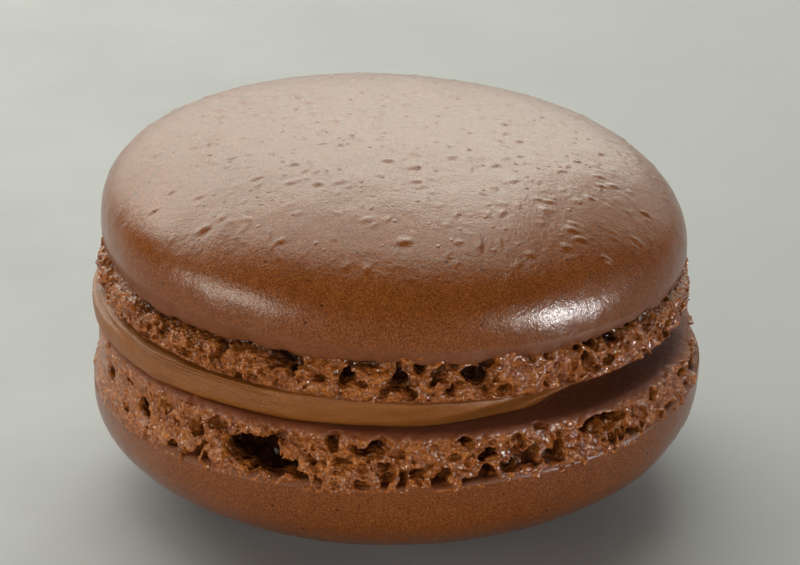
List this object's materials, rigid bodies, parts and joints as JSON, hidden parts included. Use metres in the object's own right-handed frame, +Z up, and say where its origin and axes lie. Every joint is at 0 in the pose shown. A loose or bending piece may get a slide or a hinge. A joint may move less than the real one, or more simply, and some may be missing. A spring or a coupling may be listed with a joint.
{
  "type": "macaron",
  "caption": "Chocolate macaron lying as served: smooth domed shells with frothy baked feet and a smooth layer of ganache between them.",
  "frame": {"origin": "on the table under the middle of the macaron", "axes": "+Z up through both shells, -Y towards the side that the picture shows, +X to the right as seen from there, where the filling stops short and the shells lie closer together"},
  "size_m": [0.046, 0.046, 0.0281],
  "materials": {
    "baked_shell": "smooth dry cocoa meringue crust with a soft sheen",
    "ganache": "smooth, slightly fatty chocolate cream"
  },
  "bodies": {
    "root": {"shell_lower": "baked_shell", "filling": "ganache", "shell_upper": "baked_shell"}
  },
  "joints": []
}
